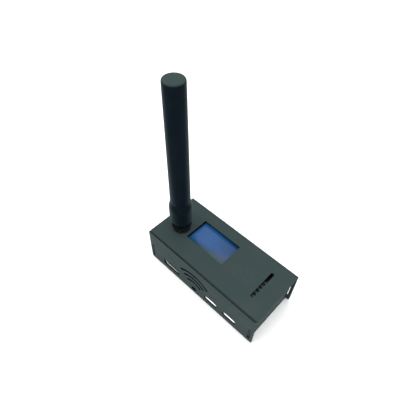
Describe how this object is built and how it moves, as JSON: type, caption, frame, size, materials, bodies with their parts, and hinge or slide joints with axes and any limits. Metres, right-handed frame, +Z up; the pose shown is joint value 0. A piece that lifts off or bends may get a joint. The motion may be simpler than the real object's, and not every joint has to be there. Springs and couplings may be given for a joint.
{
  "type": "spectrum analyzer",
  "caption": "Pocket spectrum analyzer: slim black sheet-metal case over stacked boards, small display window, side ports and a screw-on stub antenna.",
  "frame": {"origin": "middle of the case's underside, on the surface the case stands on", "axes": "+Z up along the antenna, +X along the case towards the end without the antenna, +Y from the side with the ports towards the plain side"},
  "size_m": [0.073, 0.033, 0.1112],
  "materials": {
    "case_black": "fine matte powder coat",
    "spacer_nylon": "natural nylon",
    "standoff_brass": "turned, satin",
    "screw_black": "black oxide",
    "screw_steel": "plated, satin",
    "board_green": "solder mask over copper",
    "board_black": "black solder mask over copper",
    "chip": "moulded epoxy",
    "can_metal": "tinned sheet",
    "socket_metal": "bright nickel plate",
    "socket_plastic": "moulded",
    "header_plastic": "moulded, with gilt pins",
    "connector_ivory": "moulded",
    "card_plastic": "moulded",
    "led_lens": "clear resin over white",
    "display_glass": "polished glass over a dark blue panel",
    "jack_gold": "gilt",
    "nut_black": "black plating",
    "insulator": "fluoropolymer",
    "antenna_rubber": "smooth matte moulding",
    "coil_brass": "drawn wire"
  },
  "bodies": {
    "case": {"base_tray": "case_black", "top_plate": "case_black", "left_end_plate": "case_black", "right_end_plate": "case_black", "lower_spacer_1": "spacer_nylon", "lower_spacer_2": "spacer_nylon", "lower_spacer_3": "spacer_nylon", "lower_spacer_4": "spacer_nylon", "standoff_1": "standoff_brass", "standoff_2": "standoff_brass", "standoff_3": "standoff_brass", "standoff_4": "standoff_brass", "bottom_screw_1": "screw_black", "bottom_screw_2": "screw_black", "bottom_screw_3": "screw_black", "bottom_screw_4": "screw_black", "board_screw_1": "screw_steel", "board_screw_2": "screw_steel", "board_screw_3": "screw_steel", "board_screw_4": "screw_steel", "main_board": "board_green", "processor_chip": "chip", "wireless_can": "can_metal", "video_shell": "socket_metal", "video_tongue": "socket_plastic", "data_shell": "socket_metal", "data_tongue": "socket_plastic", "power_shell": "socket_metal", "power_tongue": "socket_plastic", "card_socket": "can_metal", "camera_connector": "connector_ivory", "pin_header": "header_plastic", "radio_board": "board_black", "header_socket": "header_plastic", "transceiver_can": "can_metal", "microcontroller": "chip", "oscillator": "can_metal", "status_led_1": "led_lens", "status_led_2": "led_lens", "status_led_3": "led_lens", "status_led_4": "led_lens", "status_led_5": "led_lens", "display_board": "board_black", "display_pins": "header_plastic", "display_glass": "display_glass", "antenna_jack": "jack_gold", "jack_insulator": "insulator", "jack_washer": "nut_black", "jack_nut": "nut_black"},
    "antenna_contact": {"plug_insulator": "insulator", "centre_pin": "jack_gold"},
    "antenna": {"coupling_nut": "nut_black", "base_sleeve": "antenna_rubber", "whip_cover": "antenna_rubber", "antenna_coil": "coil_brass", "coil_core": "insulator"},
    "memory_card": {"memory_card": "card_plastic"},
    "camera_latch": {"camera_latch": "socket_plastic"}
  },
  "joints": [
    {"name": "antenna_rise", "type": "slide", "parent": "case", "child": "antenna_contact", "axis": [0, 0, 1], "range_m": [0, 0.00494]},
    {"name": "antenna_turn", "type": "hinge", "parent": "antenna_contact", "child": "antenna", "pos_m": [-0.0264, -0.002, 0.027], "axis": [0, 0, 1], "range_deg": [0, 2520]},
    {"name": "memory_card_slide", "type": "slide", "parent": "case", "child": "memory_card", "axis": [-1, 0, 0], "range_m": [0, 0.012]},
    {"name": "camera_latch_slide", "type": "slide", "parent": "case", "child": "camera_latch", "axis": [1, 0, 0], "range_m": [0, 0.0007]}
  ],
  "couplings": [
    {"joint": "antenna_turn", "follows": "antenna_rise", "rad_per_m": 8904.7}
  ]
}
